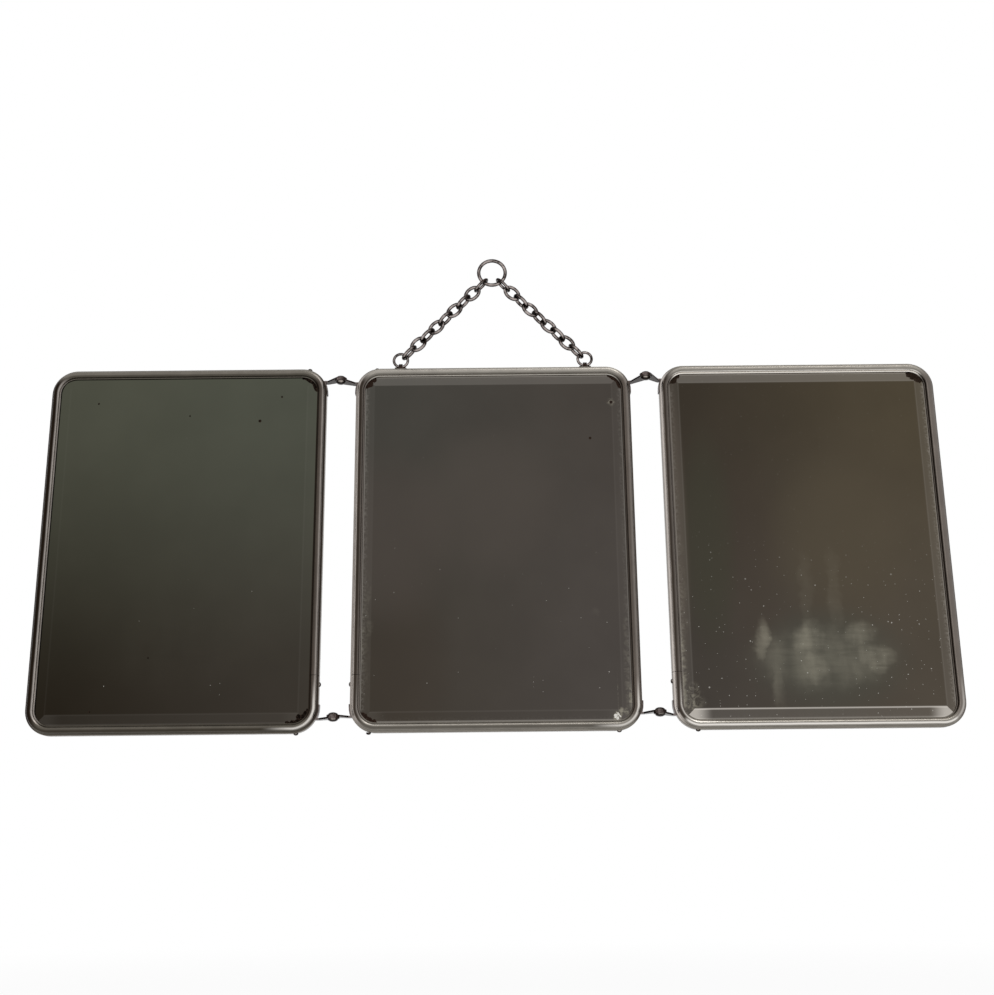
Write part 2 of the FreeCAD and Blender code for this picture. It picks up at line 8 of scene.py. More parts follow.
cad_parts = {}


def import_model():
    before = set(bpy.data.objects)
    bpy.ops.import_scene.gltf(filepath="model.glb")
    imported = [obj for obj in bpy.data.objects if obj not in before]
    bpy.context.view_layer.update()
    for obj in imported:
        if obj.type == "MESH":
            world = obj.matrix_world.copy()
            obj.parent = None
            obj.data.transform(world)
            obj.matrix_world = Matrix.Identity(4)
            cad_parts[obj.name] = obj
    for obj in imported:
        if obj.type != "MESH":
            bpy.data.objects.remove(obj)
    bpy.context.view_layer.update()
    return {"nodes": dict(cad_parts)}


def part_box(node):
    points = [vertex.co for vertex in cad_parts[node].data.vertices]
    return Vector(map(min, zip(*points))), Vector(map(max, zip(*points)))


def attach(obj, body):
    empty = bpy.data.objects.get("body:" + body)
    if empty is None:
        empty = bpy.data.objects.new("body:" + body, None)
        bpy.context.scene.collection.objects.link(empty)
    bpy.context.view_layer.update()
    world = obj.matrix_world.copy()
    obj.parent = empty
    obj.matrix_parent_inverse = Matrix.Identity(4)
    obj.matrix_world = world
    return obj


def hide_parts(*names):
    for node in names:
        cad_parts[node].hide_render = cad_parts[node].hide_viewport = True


# Looks for the trifold mirror. Lengths are in millimetres, except where a function says metres, and MM turns
# them into the frame's metres. Angles named here are in degrees.
MM = 0.001
LEAVES = ("left", "centre", "right")
SIDES = {"left": -1, "right": 1}
ENDS = {"top": 1, "bottom": -1}

# the rolled strip of a leaf's frame, in from the side wall and back from the front plane
CORNER_RADIUS = 16.5  # of the leaf, over its side walls
SHEET = 0.5
BEAD_RADIUS = 2.2
SHOULDER_WIDTH = 1.1
SHOULDER_DEPTH = 3.0
SHOULDER_BEVEL = 0.35
INNER_LIP = 0.7
LIP_EDGE = SHOULDER_WIDTH + BEAD_RADIUS * 2 + INNER_LIP
REAR_LIP = 1.6
GROOVE_ROUND = 0.25  # where the shoulder meets the bead
GROOVE_ROUND_MIDDLE = 0.07
REAR_ROUND = 0.3  # between the side wall and the rear lip
ROUND_SHARE = 0.3  # how far in a rounded corner's middle point lies, as a share of its size
LIP_CHAMFER = 0.1
BEAD_STEPS = 14
CORNER_STEPS = 14
SEAM_GAP = 0.25
SEAM_HEIGHT = 36.5  # above the leaf's bottom edge

# small rivet heads on each leaf's ends: (name, top or bottom, side, how far in from that side)
END_RIVETS = {
    "left": [("top", 1, 1, 12.0), ("bottom", -1, 1, 14.0)],
    "centre": [("top", 1, -1, 14.0), ("bottom_left", -1, -1, 12.0), ("bottom_right", -1, 1, 15.0)],
    "right": [("bottom", -1, -1, 15.0)],
}
# and the side of each leaf that has one more, above its bottom edge
SIDE_RIVETS = {"left": 1, "centre": -1, "right": -1}
SIDE_RIVET_HEIGHT = 31.0
EDGE_RIVET_RADIUS = 1.6
EDGE_RIVET_RISE = 1.15
EDGE_RIVET_SUNK = 0.3
EDGE_RIVET_SIDES = 18
EDGE_RIVET_STEPS = 4

# hinge rivets, and where the small flat on top of every domed head begins
PLAIN_HEAD_HEIGHT = 1.0
DOMED_HEAD_HEIGHT = 1.7
DOMED_HEAD_SPREAD = 1.3  # times the plain head's radius
DOMED_HEAD_STEPS = 6
SHANK_RADIUS = 1.2
HINGE_RIVET_SIDES = 28
DOME_TOP = 82.0

# chains
LINKS_PER_CHAIN = 9
CHAIN_TWIST = {"left": 16.0, "right": -17.0}  # about the chain's line, from its fourth link to its seventh
TWIST_STEPS = 3
LOOSE_TURN = 2.0  # how far a link may lie off its place about that line
LINK_WIRE = 2.4
FIRST_LINK_WIRE = 2.1  # it swings on the hanging ring
LINK_LENGTH = 11.25  # between the middles of the wire at its ends
LINK_WIDTH = 9.8  # outside
RING_WIRE = 2.5
EYE_RING_WIRE = 1.9
LINK_BENDS = 36
LINK_SIDES = 12
RING_BENDS = 56
RING_SIDES = 16
SHARP_ANGLE = 34.0  # edges sharper than this stay sharp under smooth shading

# glass, in from its own edge, and where its bottom bevel turns paler with a painted highlight, out from the
# glass's middle
BEVEL_WIDTH = 10.8
LIP_LINE = 4.3
MITRE_START = 68.0


# ---- node graphs -------------------------------------------------------------------------------------


class Graph:
    """A material's or world's node tree, with short calls for the nodes used here."""

    def __init__(self, owner):
        owner.use_nodes = True
        self.tree = owner.node_tree
        self.tree.nodes.clear()

    def node(self, kind, **settings):
        made = self.tree.nodes.new(kind)
        for name, value in settings.items():
            setattr(made, name, value)
        return made

    def feed(self, socket, value):
        if isinstance(value, Field):
            self.tree.links.new(value.socket, socket)
        elif isinstance(value, bpy.types.NodeSocket):
            self.tree.links.new(value, socket)
        else:
            socket.default_value = value

    def math(self, operation, *values):
        made = self.node("ShaderNodeMath", operation=operation)
        for socket, value in zip(made.inputs, values):
            self.feed(socket, value)
        return Field(self, made.outputs[0])

    def place(self):
        """Coordinates in the row frame at rest, in millimetres, as three fields."""
        coordinates = self.node("ShaderNodeTexCoord")
        scaled = self.node("ShaderNodeVectorMath", operation="SCALE")
        self.feed(scaled.inputs[0], coordinates.outputs["Object"])
        scaled.inputs["Scale"].default_value = 1 / MM
        split = self.node("ShaderNodeSeparateXYZ")
        self.feed(split.inputs[0], scaled.outputs[0])
        return [Field(self, socket) for socket in split.outputs]

    def vector(self, x, y, z):
        made = self.node("ShaderNodeCombineXYZ")
        for socket, value in zip(made.inputs, (x, y, z)):
            self.feed(socket, value)
        return made.outputs[0]

    def noise(self, vector, size, detail=3.0, roughness=0.55, distortion=0.0):
        """Smooth noise from 0 to 1; size is the width of its patches in millimetres."""
        made = self.node("ShaderNodeTexNoise")
        self.feed(made.inputs["Vector"], vector)
        made.inputs["Scale"].default_value = 1 / size
        made.inputs["Detail"].default_value = detail
        made.inputs["Roughness"].default_value = roughness
        made.inputs["Distortion"].default_value = distortion
        return Field(self, made.outputs[0])

    def specks(self, vector, spacing, radius, share, dimensions="3D"):
        """Round dots, 1 inside: share of the cells hold one, and their radii differ."""
        made = self.node("ShaderNodeTexVoronoi", voronoi_dimensions=dimensions)
        self.feed(made.inputs["Vector"], vector)
        made.inputs["Scale"].default_value = 1 / spacing
        split = self.node("ShaderNodeSeparateColor")
        self.feed(split.inputs[0], made.outputs["Color"])
        chosen = Field(self, split.outputs[0]).below(share, 0.001)
        size = Field(self, split.outputs[1]) * (0.75 * radius / spacing) + 0.25 * radius / spacing
        distance = Field(self, made.outputs["Distance"])
        return chosen * self.math("LESS_THAN", distance, size)

    def edge_on(self):
        """0 where the surface faces the eye and 1 where it turns away."""
        made = self.node("ShaderNodeLayerWeight")
        made.inputs["Blend"].default_value = 0.5
        return Field(self, made.outputs["Facing"])

    def mix(self, amount, first, second):
        made = self.node("ShaderNodeMix", data_type="RGBA")
        self.feed(made.inputs["Factor"], amount)
        self.feed(made.inputs[6], first)
        self.feed(made.inputs[7], second)
        return made.outputs[2]

    def ramp(self, value, reach, stops, redness):
        """Metal greys along a field that runs from 0 to reach; stops are (millimetres, grey level)."""
        made = self.node("ShaderNodeValToRGB")
        self.feed(made.inputs[0], value * (1 / reach))
        elements = made.color_ramp.elements
        elements[0].color = metal_grey(stops[0][1], redness)
        elements[-1].color = metal_grey(stops[-1][1], redness)
        for where, level in stops[1:-1]:
            elements.new(where / reach).color = metal_grey(level, redness)
        return made.outputs[0]

    def spot(self, x, z, place, half_sizes, soft):
        """A round or oval soft patch, 1 in its middle and 0 outside; soft is the share that fades."""
        across = (x - place[0]) * (1 / half_sizes[0])
        up = (z - place[1]) * (1 / half_sizes[1])
        squared = across * across + up * up
        return squared.below(1.0 - soft / 2, soft / 2)

    def shade(self, tint, level):
        """A colour made lighter or darker by a field."""
        made = self.node("ShaderNodeVectorMath", operation="SCALE")
        self.feed(made.inputs[0], tint)
        self.feed(made.inputs["Scale"], level)
        return made.outputs[0]

    def bump(self, height, distance, strength):
        made = self.node("ShaderNodeBump")
        self.feed(made.inputs["Height"], height)
        made.inputs["Distance"].default_value = distance * MM
        made.inputs["Strength"].default_value = strength
        return made.outputs[0]

    def principled(self, **inputs):
        shader = self.node("ShaderNodeBsdfPrincipled")
        for name, value in inputs.items():
            self.feed(shader.inputs[name.replace("_", " ")], value)
        output = self.node("ShaderNodeOutputMaterial")
        self.feed(output.inputs["Surface"], shader.outputs[0])


class Field:
    """A number that varies over a surface: one output socket, with arithmetic."""

    def __init__(self, graph, socket):
        self.graph = graph
        self.socket = socket

    def __add__(self, other):
        return self.graph.math("ADD", self, other)

    def __sub__(self, other):
        return self.graph.math("SUBTRACT", self, other)

    def __mul__(self, other):
        return self.graph.math("MULTIPLY", self, other)

    def size(self):
        return self.graph.math("ABSOLUTE", self)

    def least(self, other):
        return self.graph.math("MINIMUM", self, other)

    def most(self, other):
        return self.graph.math("MAXIMUM", self, other)

    def between(self, low, high):
        """0 up to low, 1 from high, and a smooth rise in between."""
        made = self.graph.node("ShaderNodeMapRange", interpolation_type="SMOOTHSTEP")
        self.graph.feed(made.inputs["Value"], self)
        made.inputs["From Min"].default_value = low
        made.inputs["From Max"].default_value = high
        return Field(self.graph, made.outputs[0])

    def below(self, limit, soft):
        made = self.graph.node("ShaderNodeMapRange", interpolation_type="SMOOTHSTEP")
        self.graph.feed(made.inputs["Value"], self)
        made.inputs["From Min"].default_value = limit - soft
        made.inputs["From Max"].default_value = limit + soft
        made.inputs["To Min"].default_value = 1.0
        made.inputs["To Max"].default_value = 0.0
        return Field(self.graph, made.outputs[0])


def colour(red, green, blue):
    """An sRGB colour, 0 to 255, as the linear one that a socket holds."""

    def linear(value):
        share = value / 255
        if share <= 0.04045:
            return share / 12.92
        return ((share + 0.055) / 1.055) ** 2.4

    return (linear(red), linear(green), linear(blue), 1.0)


def metal_grey(level, redness):
    """Old nickel's slightly warm grey at a level from 0 to 255."""
    return colour(level + 3 + redness, level - 2 - redness, level - 10 + redness)


def strongest(fields):
    """The largest of several fields at each point."""
    largest = fields[0]
    for field in fields[1:]:
        largest = largest.most(field)
    return largest


def by_side(at_end, rightward, upward, values):
    """A value that differs on the four sides of a leaf."""
    end = upward * (values["top"] - values["bottom"]) + values["bottom"]
    side = rightward * (values["right"] - values["left"]) + values["left"]
    return side + (end - side) * at_end


# ---- places in the frame -----------------------------------------------------------------------------


def middle_and_half(node):
    """The middle of a CAD node's box and its half sizes, in millimetres."""
    low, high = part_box(node)
    return (low + high) / 2 / MM, (high - low) / 2 / MM


def body_of(leaf):
    return "centre_leaf" if leaf == "centre" else f"{leaf}_wing"


# ---- nickel ------------------------------------------------------------------------------------------


# grey levels across the strip on each side of a leaf, the groove's patina with painted reflections and
# shade: (millimetres in from the side wall, level)
STRIP_REACH = 6.4
STRIP_TONES_AND_REFLECTIONS = {
    "left": [(0.0, 120), (2.1, 150), (2.6, 62), (3.4, 48), (4.1, 54), (4.7, 92), (5.4, 104), (6.4, 90)],
    "right": [(0.0, 92), (0.9, 52), (1.4, 84), (2.2, 120), (3.3, 96), (4.2, 76), (5.4, 60), (6.4, 64)],
    "top": [(0.0, 132), (0.9, 100), (1.7, 146), (3.8, 160), (5.0, 104), (5.6, 165), (6.4, 180)],
    "bottom": [(0.0, 105), (1.0, 140), (2.3, 80), (2.9, 70), (3.4, 100), (4.1, 148), (4.7, 108), (6.4, 110)],
}
# the wings' strips, whose painted reflections and shade differ from that
WING_TONES_AND_REFLECTIONS = {
    ("left", "left"): [(0.0, 40), (2.3, 22), (3.5, 25), (4.1, 44), (4.8, 156), (5.6, 160), (6.4, 28)],
    ("left", "right"): [
        (0.0, 60), (0.8, 36), (1.4, 98), (2.1, 146), (2.7, 90), (3.4, 73), (4.7, 34), (6.4, 34),
    ],
    ("left", "top"): [(0.0, 100), (3.8, 110), (4.3, 84), (5.0, 78), (6.4, 100)],
    ("left", "bottom"): [(0.0, 84), (1.2, 80), (2.2, 57), (3.0, 68), (3.8, 92), (5.2, 74), (6.4, 70)],
    ("right", "left"): [(0.0, 118), (0.9, 200), (1.5, 156), (2.0, 64), (2.9, 50), (4.9, 106), (6.4, 66)],
    ("right", "right"): [(0.0, 92), (1.2, 76), (2.3, 106), (4.6, 102), (5.3, 46), (5.8, 56), (6.4, 104)],
    ("right", "top"): [(0.0, 100), (2.2, 112), (3.4, 160), (4.2, 130), (4.7, 112), (5.3, 190), (6.4, 190)],
}
# the painted highlight line along the two ends of a strip: how strong on each leaf, how far in, and half its
# width
GLEAM = {"left": 0.0, "centre": 0.05, "right": 0.9}
GLEAM_LINE = {"top": 5.45, "bottom": 2.6}
GLEAM_WIDTH = 0.6
# the same for the painted highlight round the two bottom corners
CORNER_GLEAM = {
    "left": {"left": 0.0, "right": 0.75},
    "centre": {"left": 0.1, "right": 0.7},
    "right": {"left": 0.5, "right": 0.35},
}
CORNER_LINE = {"left": 4.6, "right": 2.6}
PAINTED_HIGHLIGHT_NICKEL = (248, 243, 236)
WALL_NICKEL = [(136, 129, 121), (100, 90, 81)]
PIT = (48, 37, 29)


def places_on_strip(graph, leaf):
    """Fields that say where a point of a leaf's strip lies; inward is in from the side wall."""
    middle, half = middle_and_half(f"{leaf}_frame")
    x, y, z = graph.place()
    across = x - middle.x
    up = z - middle.z
    past_x = across.size() - (half.x - CORNER_RADIUS)
    past_z = up.size() - (half.z - CORNER_RADIUS)
    round_x = past_x.most(0.0)
    round_z = past_z.most(0.0)
    outside = graph.math("SQRT", round_x * round_x + round_z * round_z)
    corner_soft = 7.0
    return SimpleNamespace(
        where=graph.vector(x, y, z),
        up=up,
        back=y - (middle.y - half.y),
        inward=(outside + past_x.most(past_z).least(0.0)) * -1.0 + CORNER_RADIUS,
        near_corner=past_x.least(past_z).between(-20.0, 4.0),
        at_end=(past_z - past_x).between(-corner_soft, corner_soft),
        rightward=across.between(-1.0, 1.0),
        upward=up.between(-1.0, 1.0),
    )


def strip_tones_and_reflections(graph, at, wavy, leaf):
    """The greys across the strip, groove patina with painted reflections and shade, which run together at
    the corners.
    """
    greys = {}
    for side, usual in STRIP_TONES_AND_REFLECTIONS.items():
        redness = 1 if side in SIDES else 0
        greys[side] = graph.ramp(wavy, STRIP_REACH, WING_TONES_AND_REFLECTIONS.get((leaf, side), usual), redness)
    sides = graph.mix(at.rightward, greys["left"], greys["right"])
    ends = graph.mix(at.upward, greys["bottom"], greys["top"])
    return graph.mix(at.at_end, sides, ends)


def painted_highlight_lines(at, wavy, leaf):
    """Painted highlight lines on the strip: along its two ends, and round its two bottom corners."""
    line = at.upward * (GLEAM_LINE["top"] - GLEAM_LINE["bottom"]) + GLEAM_LINE["bottom"]
    gleam = ((wavy - line).size() - GLEAM_WIDTH).below(0.0, 0.5) * at.at_end.between(0.3, 1.0) * GLEAM[leaf]
    corner_line = at.rightward * (CORNER_LINE["right"] - CORNER_LINE["left"]) + CORNER_LINE["left"]
    corner = CORNER_GLEAM[leaf]
    strength = at.rightward * (corner["right"] - corner["left"]) + corner["left"]
    at_foot = at.near_corner * (at.upward * -1.0 + 1.0)
    return gleam.most(strength * at_foot * ((wavy - corner_line).size() - GLEAM_WIDTH).below(0.0, 0.6))


def nickel_wear_and_painted_sheen(leaf):
    """Nickel plate of one leaf's strip: browned in the groove, with painted reflections, shade and highlight
    lines across it, pitted here and there.
    """
    made = bpy.data.materials.new(f"{leaf}_nickel_wear_and_painted_sheen")
    graph = Graph(made)
    at = places_on_strip(graph, leaf)
    cloud = graph.noise(at.where, 11.0, detail=5.0)
    fine = graph.noise(at.where, 1.5, detail=2.0)
    wavy = at.inward + (graph.noise(at.where, 16.0, detail=2.0) - 0.5) * 0.35
    face = strip_tones_and_reflections(graph, at, wavy, leaf)
    # painted highlight: the side strips turn lighter towards the bottom
    lower_side_highlight = (at.at_end * -1.0 + 1.0) * at.up.below(-80.0, 50.0) * 0.22
    face = graph.shade(face, (cloud - 0.5) * 0.5 + lower_side_highlight + 1.0)
    # painted highlight lines, in a near-white nickel
    face = graph.mix(painted_highlight_lines(at, wavy, leaf), face, colour(*PAINTED_HIGHLIGHT_NICKEL))
    pale, dark = [colour(*tone) for tone in WALL_NICKEL]
    wall = graph.mix(cloud, pale, dark)
    plate = graph.mix(at.back.between(SHOULDER_DEPTH + 0.1, SHOULDER_DEPTH + 0.5), face, wall)
    pits = graph.specks(at.where, 3.6, 0.3, 0.2)
    graph.principled(
        Base_Color=graph.mix(pits * 0.6, plate, colour(*PIT)),
        Metallic=1.0,
        Roughness=cloud * 0.16 + fine * 0.08 + 0.2,
        Normal=graph.bump(fine * 0.4 + cloud * 2.0, 0.02, 0.3),
    )
    return made


# ---- small metal parts, card and back plate ----------------------------------------------------------


def steel_painted_sheen_and_tarnish(name, light, dark, rust):
    """Small wire and strip parts: a painted highlight where the surface faces the eye, painted shade where
    it turns away, and dark brown tarnish stains.
    """
    made = bpy.data.materials.new(name)
    graph = Graph(made)
    x, y, z = graph.place()
    where = graph.vector(x, y, z)
    cloud = graph.noise(where, 3.4, detail=4.0)
    fine = graph.noise(where, 0.9, detail=2.0)
    stain = graph.noise(where, 5.0, detail=5.0, roughness=0.7)
    # painted highlight and shade: lighter where the surface faces the eye, darker where it turns away
    turned = graph.edge_on() + (cloud - 0.5) * 0.8
    body = graph.mix(turned.between(-0.05, 0.24), light, dark)
    stained = graph.mix(stain.between(0.55, 0.7) * 0.6, body, rust)
    graph.principled(
        Base_Color=stained,
        Metallic=1.0,
        Roughness=cloud * 0.15 + fine * 0.08 + 0.16,
        Normal=graph.bump(fine + cloud, 0.03, 0.3),
    )
    return made


def japanned_sheet(name):
    """Black japanned back plate, rubbed through to brown along scratches."""
    made = bpy.data.materials.new(name)
    graph = Graph(made)
    x, y, z = graph.place()
    cloud = graph.noise(graph.vector(x, y, z), 30.0, detail=6.0)
    scuff = graph.noise(graph.vector(x * 0.25, y, z), 1.5, detail=4.0, roughness=0.7)
    rub = (cloud * 0.5 + scuff * 0.6).between(0.64, 0.72)
    base = graph.mix(cloud, colour(30, 28, 26), colour(44, 40, 36))
    graph.principled(
        Base_Color=graph.mix(rub * 0.8, base, colour(92, 70, 50)),
        Roughness=cloud * 0.3 + 0.3,
        Normal=graph.bump(scuff, 0.08, 0.4),
    )
    return made


def strawboard(name):
    made = bpy.data.materials.new(name)
    graph = Graph(made)
    x, y, z = graph.place()
    fibre = graph.noise(graph.vector(x, y * 6.0, z * 0.4), 0.8, detail=5.0, roughness=0.7)
    graph.principled(
        Base_Color=graph.mix(fibre, colour(150, 128, 92), colour(112, 92, 62)),
        Roughness=0.95,
        Normal=graph.bump(fibre, 0.1, 0.6),
    )
    return made


# ---- old mirror glass --------------------------------------------------------------------------------


# How each old mirror has darkened and aged, and the reflections painted on it. Places are (right, up) in
# millimetres from its middle.
# tones: its colours at the upper left, upper right, lower left and lower right, darkened silver with a
# painted reflection
# bevels, ridges, lips: painted reflections: how pale each side's bevel, its inner ridge and the glass along
# the frame's lip are
# bare: where the silver is gone, each a place and a radius
# crescents: the same along a corner's lip: (side, end, first degree, last degree, radius)
# tints: (place, half sizes, colour, strength); smudges: (place, half sizes, strength)
# dust: how much of it, from 0 to 1; decay: the colour of what shows where the silver is gone
AGEING_AND_REFLECTIONS = {
    "left": {
        "tones": [(75, 76, 65), (77, 79, 69), (37, 32, 25), (57, 52, 46)],
        "bevels": {"left": 0.0, "right": 0.006, "top": 0.0, "bottom": 0.018},
        "ridges": {"left": 0.01, "right": 0.015, "top": 0.0, "bottom": 0.02},
        "lips": {"left": 0.0, "right": 0.0, "top": 0.0, "bottom": 0.05},
        "crescents": [(1, -1, 14, 92, 2.5), (1, 1, 8, 84, 2.3)],
        "bare": [
            ((81.0, -112.6), 1.9),
            ((74.0, -116.4), 1.6),
            ((48.7, 85.7), 1.1),
            ((63.0, 102.8), 0.75),
            ((-60.7, 99.0), 0.7),
            ((1.4, 89.7), 0.6),
            ((-16.8, -74.3), 0.6),
            ((-52.0, -108.4), 0.75),
        ],
        "tints": [],
        "smudges": [((0.0, -70.0), (60.0, 40.0), 0.02)],
        "dust": 0.012,
        "decay": (15, 11, 9),
    },
    "centre": {
        "tones": [(67, 65, 60), (71, 66, 61), (62, 57, 50), (75, 70, 66)],
        "bevels": {"left": 0.02, "right": 0.012, "top": 0.1, "bottom": 0.004},
        "ridges": {"left": 0.005, "right": 0.02, "top": 0.01, "bottom": 0.03},
        "lips": {"left": 0.3, "right": 0.2, "top": 0.4, "bottom": 0.3},
        "crescents": [(1, 1, 10, 76, 2.3)],
        "bare": [
            ((-84.5, 112.0), 3.6),
            ((-81.0, 114.6), 2.0),
            ((-84.5, -113.5), 3.2),
            ((-80.5, -116.0), 2.8),
            ((-77.4, -116.6), 2.0),
            ((64.8, 71.4), 1.0),
            ((79.7, 96.9), 1.2),
        ],
        "tints": [
            ((-60.0, -85.0), (38.0, 70.0), (63, 55, 48), 0.35),
            ((-70.0, 5.0), (50.0, 70.0), (78, 71, 66), 0.5),
            ((-5.0, 30.0), (60.0, 60.0), (84, 77, 71), 0.35),
        ],
        "smudges": [
            ((79.7, 96.9), (3.6, 3.6), 2.2),
            ((63.2, -47.9), (5.0, 3.0), 0.12),
            ((-84.0, -60.0), (5.0, 60.0), 0.25),
            # the next three smudges are strong enough to make a near-white spot low in the right corner,
            # which is a painted highlight
            ((77.0, -114.4), (3.2, 3.6), 16.0),
            ((76.4, -114.6), (0.95, 4.2), 12.0),
            ((79.4, -111.4), (2.4, 3.4), 2.0),
            ((77.6, -100.0), (0.5, 18.0), 0.45),
            ((84.0, -80.0), (3.0, 50.0), 0.35),
            ((85.6, -103.0), (1.8, 12.0), 1.7),
            ((82.6, -111.6), (2.6, 3.4), 1.7),
        ],
        "dust": 0.06,
        "decay": (37, 27, 22),
    },
    "right": {
        "tones": [(57, 51, 43), (77, 69, 55), (67, 62, 57), (79, 72, 63)],
        "bevels": {"left": 0.035, "right": 0.05, "top": 0.16, "bottom": 0.065},
        "ridges": {"left": 0.04, "right": 0.05, "top": 0.06, "bottom": 0.66},
        "lips": {"left": 0.22, "right": 0.45, "top": 0.4, "bottom": 0.25},
        "crescents": [],
        "bare": [
            ((-83.5, 112.5), 2.8),
            ((-80.6, 115.2), 1.7),
            ((77.4, 114.8), 2.3),
            ((80.6, 113.2), 3.0),
            ((83.6, 111.0), 2.5),
        ],
        "tints": [
            ((-38.0, -10.0), (30.0, 80.0), (72, 62, 54), 0.25),
            ((-66.0, 0.0), (22.0, 90.0), (63, 62, 51), 0.6),
            ((-86.0, 10.0), (9.0, 120.0), (86, 77, 68), 0.5),
            ((20.0, 0.0), (55.0, 70.0), (84, 76, 62), 0.5),
            ((8.0, -80.0), (60.0, 40.0), (74, 76, 68), 0.5),
        ],
        "smudges": [
            ((-35.5, -67.0), (7.5, 19.0), 0.8),
            ((-26.0, -92.0), (8.0, 26.0), 0.42),
            ((-4.0, -66.0), (18.0, 15.0), 1.15),
            ((-1.0, -83.0), (16.0, 17.0), 0.95),
            ((27.0, -64.5), (17.0, 13.0), 1.15),
            ((37.0, -79.0), (17.0, 14.0), 1.2),
            ((4.0, -78.0), (58.0, 28.0), 0.58),
            ((14.0, -38.0), (7.0, 46.0), 0.15),
            ((-4.0, -38.0), (6.0, 40.0), 0.12),
            ((-86.0, -40.0), (5.0, 110.0), 0.25),
            ((-86.5, -88.0), (3.8, 44.0), 1.3),
            ((-80.0, -104.0), (8.0, 14.0), 2.0),
        ],
        "dust": 0.5,
        "decay": (34, 27, 21),
    },
}
# (spacing, radius, share of places that hold a speck)
DUST_LAYERS = [(11.0, 0.42, 0.9), (24.0, 0.6, 0.8), (6.0, 0.28, 0.9)]
CRESCENT_STEPS = 8
CRESCENT_ENDS = 0.7  # how large the spots at both ends of a crescent are, as a share of its middle one
CRESCENT_INSET = 0.1  # how far in from the lip a spot's middle lies, as a share of the radius
SMALL_SPOT = 1.5  # a bare spot below this radius is round, and a larger one has a ragged edge
LINE_SMUDGE = 1.0  # a smudge narrower than this, by its half size, is a plain line
SMALL_SMUDGE = 4.0  # one narrower than this has a ragged edge, and a larger one drifts
PAINTED_REFLECTION_SILVER = (196, 190, 182)
THIN_BLOOM = (186, 180, 160)
THICK_BLOOM = (250, 247, 240)
BARE_RIM = (46, 36, 30)
BARE_GRAIN = (50, 39, 32)
DUST = (205, 202, 194)


def crescent(half, side, end, first, last, radius):
    """Bare spots that run together along a corner's lip, thinner at both ends of the row.

    half is the leaf's half sizes, and first and last are degrees round the corner, from its side to its end.
    """
    reach = CORNER_RADIUS - LIP_EDGE - radius * CRESCENT_INSET
    spots = []
    for step in range(CRESCENT_STEPS + 1):
        share = step / CRESCENT_STEPS
        angle = math.radians(first + (last - first) * share)
        across = half.x - CORNER_RADIUS + reach * math.cos(angle)
        up = half.z - CORNER_RADIUS + reach * math.sin(angle)
        thinned = radius * (CRESCENT_ENDS + (1.0 - CRESCENT_ENDS) * math.sin(math.pi * share))
        spots.append(((across * side, up * end), thinned))
    return spots


def places_on_glass(graph, leaf):
    """Fields that say where a point of a leaf's glass lies, and the noises that several faults share."""
    middle, half = middle_and_half(f"{leaf}_mirror_glass")
    x, y, z = graph.place()
    x = x - middle.x
    z = z - middle.z
    where = graph.vector(x, y, z)
    from_side = x.size() * -1.0 + half.x
    from_end = z.size() * -1.0 + half.z
    mitre_soft = 0.15
    return SimpleNamespace(
        x=x,
        y=y,
        z=z,
        half=half,
        where=where,
        from_side=from_side,
        from_edge=from_side.least(from_end),
        at_end=(from_side - from_end).between(-mitre_soft, mitre_soft),
        rightward=x.between(-1.0, 1.0),
        upward=z.between(-1.0, 1.0),
        cloud=graph.noise(where, 60.0, detail=3.0),
        grain=graph.noise(where, 1.6, detail=4.0, roughness=0.7),
        wipe=graph.noise(graph.vector(x * 0.16, y, z), 2.6, detail=5.0, roughness=0.65, distortion=0.5),
        ragged_x=x + (graph.noise(where, 3.0, detail=5.0, roughness=0.65) - 0.5) * 3.6,
        ragged_z=z + (graph.noise(where, 2.2, detail=4.0, roughness=0.65) - 0.5) * 3.6,
    )


def darkened_silver_and_reflection(graph, at, look):
    """Silver that has darkened unevenly, with a painted reflection: tones that run together, under soft
    tints.
    """
    to_right = at.x.between(-at.half.x, at.half.x)
    to_top = at.z.between(-at.half.z, at.half.z)
    # painted reflection: the four corner tones stand in for what the mirror reflects, over its darkened
    # silver
    upper_left, upper_right, lower_left, lower_right = [colour(*tone) for tone in look["tones"]]
    upper = graph.mix(to_right, upper_left, upper_right)
    lower = graph.mix(to_right, lower_left, lower_right)
    silver = graph.shade(graph.mix(to_top, lower, upper), (at.cloud - 0.5) * 0.3 + 1.0)
    for place, half_sizes, tint, strength in look["tints"]:
        patch = graph.spot(at.x, at.z, place, half_sizes, 1.0)
        silver = graph.mix(patch * strength, silver, colour(*tint))
    return silver


def painted_edge_reflections(graph, at, look, silver):
    """The silver with painted reflections: its bevel, the bevel's ridge and the glass along the lip paler
    than the rest, and a painted highlight on the bottom bevel near each mitre.
    """
    on_bevel = at.from_edge.below(BEVEL_WIDTH, 0.12)
    # painted highlight on the bottom bevel towards each mitre
    outer_part = at.x.size().between(MITRE_START, at.half.x - BEVEL_WIDTH)
    mitre_highlight = at.at_end * (at.upward * -1.0 + 1.0) * outer_part
    bevel = by_side(at.at_end, at.rightward, at.upward, look["bevels"])
    bevel = bevel + mitre_highlight * look["ridges"]["bottom"] * 1.1
    on_ridge = (at.from_edge - BEVEL_WIDTH).size().below(0.45, 0.3)
    ridge = by_side(at.at_end, at.rightward, at.upward, look["ridges"])
    mottled = (at.at_end * -0.8 + 1.0) * at.grain.between(0.42, 0.66) * 0.45
    near_lip = (at.from_edge - LIP_LINE).below(2.4, 2.0) * mottled
    at_lip = (at.from_edge - LIP_LINE).size().below(0.7, 0.5).most(near_lip)
    lip = by_side(at.at_end, at.rightward, at.upward, look["lips"])
    # painted reflection: bevel, ridge and lip paler than the flat glass
    amount = bevel * on_bevel + ridge * on_ridge + lip * at_lip
    return graph.mix(amount.least(1.0), silver, colour(*PAINTED_REFLECTION_SILVER))


